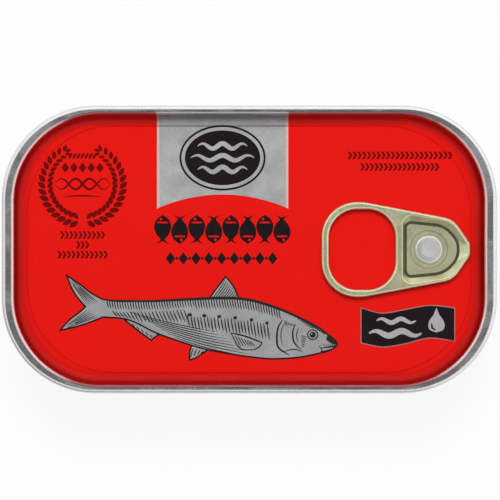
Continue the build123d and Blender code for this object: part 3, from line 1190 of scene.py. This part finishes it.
def lay_floor():
    """A pale floor, which the camera and mirrors see as almost white."""
    bm = bmesh.new()
    bmesh.ops.create_grid(bm, x_segments=2, y_segments=2, size=2.0)
    mesh = bpy.data.meshes.new("floor")
    bm.to_mesh(mesh)
    bm.free()
    floor = bpy.data.objects.new("floor", mesh)
    floor.location.z = -FLOOR_GAP * MM
    bpy.context.scene.collection.objects.link(floor)
    material = bpy.data.materials.new("pale_floor")
    material.use_nodes = True
    material.node_tree.nodes.clear()
    n = Nodes(material.node_tree)
    matt = n.add("BsdfDiffuse", Color=(0.86, 0.86, 0.86, 1))
    glow = n.add("Emission", Color=(1, 1, 1, 1), Strength=1.0)
    path = n.add("LightPath").outputs
    mirrored = n.math("MAXIMUM", path["Is Glossy Ray"], path["Is Transmission Ray"])
    seen = n.math("MAXIMUM", path["Is Camera Ray"], mirrored)
    mixed = n.add("MixShader")
    n.feed(mixed.inputs[0], n.math("MULTIPLY", seen, 0.9))
    n.feed(mixed.inputs[1], matt.outputs[0])
    n.feed(mixed.inputs[2], glow.outputs[0])
    n.feed(n.add("OutputMaterial").inputs["Surface"], mixed.outputs[0])
    mesh.materials.append(material)


WALLS, DOME, GAP = 0.12, 0.42, 0.12  # brightness of the room low down, high up and straight overhead


def blended(n, amount, a, b):
    """The value a, turning into b as amount goes from 0 to 1."""
    node = n.add("Mix", {"data_type": "FLOAT"})
    for socket, value in zip((node.inputs[0], node.inputs[2], node.inputs[3]), (amount, a, b)):
        n.feed(socket, value)
    return node.outputs[0]


def light_room():
    """A soft dome with a dark gap straight overhead.

    Metal mirrors white walls, a little brighter at the back, and a dark screen low down at the front left.
    """
    world = bpy.data.worlds.new("studio")
    bpy.context.scene.world = world
    world.use_nodes = True
    world.node_tree.nodes.clear()
    n = Nodes(world.node_tree)
    right, back, up = n.axes(n.add("TexCoord").outputs["Generated"])
    path = n.add("LightPath").outputs
    lit = blended(n, n.range(up, 0.86, 0.96), n.range(up, 0.05, 0.75, WALLS, DOME), GAP)
    sided = n.math("ADD", n.math("MULTIPLY", right, 0.1), n.range(back, -0.9, 0.9, 0.0, 0.4))
    front_left = n.math("ADD", n.math("MULTIPLY", right, 0.6), n.math("MULTIPLY", back, 0.8))
    screen = n.math("MULTIPLY", n.range(front_left, -0.3, -0.7), n.range(up, 0.0, 0.12))
    screen = n.math("MULTIPLY", screen, n.range(up, 0.34, 0.56, 1.0, 0.0))
    walls = n.math("ADD", 1.0, n.math("SUBTRACT", sided, n.math("MULTIPLY", screen, 0.75)))
    shown = blended(n, n.range(up, 0.93, 0.98), walls, GAP)
    strength = blended(n, path["Is Camera Ray"], blended(n, path["Is Glossy Ray"], lit, shown), 1.0)
    glow = n.add("Background", Color=(1, 1, 1, 1), Strength=strength)
    n.feed(n.add("OutputWorld").inputs["Surface"], glow.outputs[0])


def hang_lamp(name, place, wide, deep, power):
    """A soft lamp that looks at the tin, in metres and watts. Metal doesn't mirror it."""
    lamp = bpy.data.lights.new(name, "AREA")
    lamp.shape = "RECTANGLE"
    lamp.size, lamp.size_y = wide, deep
    lamp.energy = power
    holder = bpy.data.objects.new(name, lamp)
    bpy.context.scene.collection.objects.link(holder)
    holder.location = place
    holder.visible_glossy = False
    holder.rotation_euler = (Vector((0, 0, 0.02)) - Vector(place)).to_track_quat("-Z", "Y").to_euler()


def set_camera():
    """Straight above the tin, a little off its middle. Lengths are in metres."""
    height = 0.40  # above the seam's top
    seen_width = 0.1060  # at the level where the seam is widest, which is widest_below lower
    widest_below = 0.0009
    aside, back = 0.00017, -0.0001  # from straight above the middle
    data = bpy.data.cameras.new("camera")
    data.sensor_width = 36.0
    data.lens = data.sensor_width * (height + widest_below) / seen_width
    data.clip_start, data.clip_end = 0.01, 20.0
    camera = bpy.data.objects.new("camera", data)
    bpy.context.scene.collection.objects.link(camera)
    camera.location = (aside, back, SEAM_TOP * MM + height)
    bpy.context.scene.camera = camera


lay_floor()
light_room()
hang_lamp("key_lamp", place=(0.0, 0.4, 0.9), wide=0.5, deep=0.4, power=7.5)
set_camera()
bpy.context.scene.view_settings.view_transform = "Standard"
